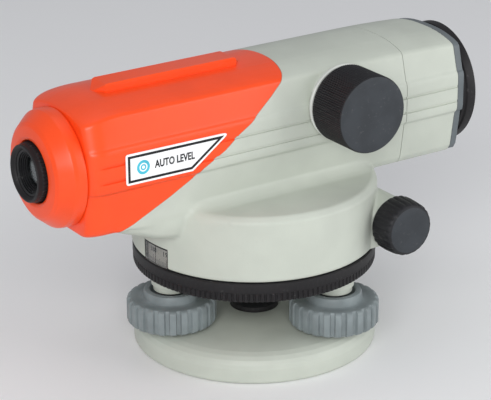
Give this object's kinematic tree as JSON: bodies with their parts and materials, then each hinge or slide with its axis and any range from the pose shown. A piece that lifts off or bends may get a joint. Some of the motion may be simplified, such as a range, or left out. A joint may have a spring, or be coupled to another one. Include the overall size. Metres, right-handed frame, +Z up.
{
  "type": "automatic level",
  "caption": "Self-levelling surveying telescope with focusing and tangent knobs on a tribrach with foot screws and a round base, for tripod use.",
  "frame": {"origin": "on the vertical axis at the underside of the base plate, the mouth of the tripod thread", "axes": "+Z up the vertical axis, +X along the line of sight towards the objective"},
  "size_m": [0.2171, 0.1168, 0.1351],
  "materials": {
    "grey_paint": "fine textured enamel, satin",
    "orange_paint": "fine textured enamel, semi-gloss",
    "black_plastic": "moulded, satin",
    "knob_black": "moulded, fine knurl, satin",
    "foot_grey": "moulded, satin",
    "plate_grey": "moulded, satin",
    "steel": "machined",
    "brass": "machined",
    "lens_glass": "polished, coated",
    "clear_window": "polished",
    "label": "printed film, gloss",
    "circle_white": "printed scale, satin",
    "black_metal": "black anodised, matt"
  },
  "bodies": {
    "base": {"base_plate": "grey_paint", "tripod_boss": "black_plastic", "spring_plate": "steel", "spring_plate_screws": "steel"},
    "foot_screw_rear": {"foot_knob_rear": "foot_grey", "foot_spindle_rear": "steel"},
    "foot_screw_front": {"foot_knob_front": "foot_grey", "foot_spindle_front": "steel"},
    "foot_screw_side": {"foot_knob_side": "foot_grey", "foot_spindle_side": "steel"},
    "tribrach": {"tribrach_plate": "grey_paint", "foot_bushes": "brass", "spindle": "steel", "spindle_screws": "steel", "spindle_nut": "brass"},
    "circle": {"setting_ring": "black_plastic", "graduated_circle": "circle_white"},
    "worm_wheel": {"worm_wheel": "brass", "clutch_spring": "steel"},
    "housing": {"main_housing": "grey_paint", "front_housing": "grey_paint", "front_plate": "plate_grey", "front_screws": "steel", "rear_shell": "orange_paint", "rear_shell_screws": "steel", "label_plate": "label", "circle_window": "clear_window", "axis_bush": "brass", "tangent_bushes": "brass", "focus_bush": "grey_paint", "guide_rods": "steel", "objective_ring": "black_plastic", "objective_cell": "black_metal", "objective_lens": "lens_glass", "eyepiece_cover": "orange_paint", "eyepiece_mount": "black_metal", "reticle_ring": "brass", "reticle_plate": "lens_glass", "reticle_screws": "steel", "compensator_frame": "steel", "roof_prism": "lens_glass", "suspension_wires": "steel", "damping_cup": "brass", "bubble_housing": "black_plastic", "bubble_vial": "lens_glass", "prism_holder": "black_plastic", "bubble_prism": "lens_glass"},
    "tangent_drive": {"tangent_shaft": "steel", "tangent_knob_right": "knob_black", "tangent_knob_left": "knob_black"},
    "focus_drive": {"focus_knob": "knob_black", "focus_pinion": "steel"},
    "focus_slide": {"focus_carriage": "steel", "focus_lens": "lens_glass"},
    "eyepiece_ring": {"eyepiece_ring": "black_plastic"},
    "eyepiece_cell": {"eyepiece_tube": "black_metal", "eye_lens": "lens_glass", "field_lens": "lens_glass"},
    "pendulum": {"pendulum": "brass", "pendulum_prism": "lens_glass"}
  },
  "joints": [
    {"name": "foot_screw_rear_turn", "type": "hinge", "parent": "base", "child": "foot_screw_rear", "pos_m": [-0.04139, 0.0042, 0.02], "axis": [0, 0, 1], "range_deg": [-591, 591]},
    {"name": "tribrach_tilt", "type": "hinge", "parent": "base", "child": "tribrach", "pos_m": [0.02069, -0.0021, 0.009], "axis": [0.1011, 0.9949, 0], "range_deg": [-1.5, 1.5]},
    {"name": "foot_screw_front_turn", "type": "hinge", "parent": "tribrach", "child": "foot_screw_front", "pos_m": [0.01705, -0.03794, 0.02], "axis": [0, 0, 1], "range_deg": [-591, 591]},
    {"name": "foot_screw_side_turn", "type": "hinge", "parent": "tribrach", "child": "foot_screw_side", "pos_m": [0.02433, 0.03374, 0.02], "axis": [0, 0, 1], "range_deg": [-591, 591]},
    {"name": "circle_turn", "type": "hinge", "parent": "tribrach", "child": "circle", "pos_m": [0, 0, 0.043], "axis": [0, 0, 1], "continuous": true},
    {"name": "coarse_turn", "type": "hinge", "parent": "tribrach", "child": "worm_wheel", "pos_m": [0, 0, 0.06], "axis": [0, 0, 1], "continuous": true},
    {"name": "fine_turn", "type": "hinge", "parent": "worm_wheel", "child": "housing", "pos_m": [0, 0, 0.06], "axis": [0, 0, 1], "continuous": true},
    {"name": "tangent_turn", "type": "hinge", "parent": "housing", "child": "tangent_drive", "pos_m": [0.043, 0, 0.0595], "axis": [0, 1, 0], "continuous": true},
    {"name": "focus_turn", "type": "hinge", "parent": "housing", "child": "focus_drive", "pos_m": [0.026, -0.04, 0.1142], "axis": [0, 1, 0], "range_deg": [-201, 201]},
    {"name": "focus_travel", "type": "slide", "parent": "housing", "child": "focus_slide", "axis": [1, 0, 0], "range_m": [-0.0105, 0.0105]},
    {"name": "eyepiece_turn", "type": "hinge", "parent": "housing", "child": "eyepiece_ring", "pos_m": [-0.11, 0, 0.1015], "axis": [1, 0, 0], "range_deg": [-153.1, 153.1]},
    {"name": "eyepiece_travel", "type": "slide", "parent": "housing", "child": "eyepiece_cell", "axis": [1, 0, 0], "range_m": [-0.0017, 0.0017]},
    {"name": "pendulum_swing", "type": "hinge", "parent": "housing", "child": "pendulum", "pos_m": [-0.042, 0, 0.119], "axis": [0, 1, 0], "range_deg": [-0.5, 0.5]}
  ],
  "couplings": [
    {"joint": "foot_screw_rear_turn", "follows": "tribrach_tilt", "ratio": -392.07},
    {"joint": "tangent_turn", "follows": "fine_turn", "ratio": -120},
    {"joint": "focus_turn", "follows": "focus_travel", "rad_per_m": -333.33},
    {"joint": "eyepiece_turn", "follows": "eyepiece_travel", "rad_per_m": -1570.8}
  ]
}
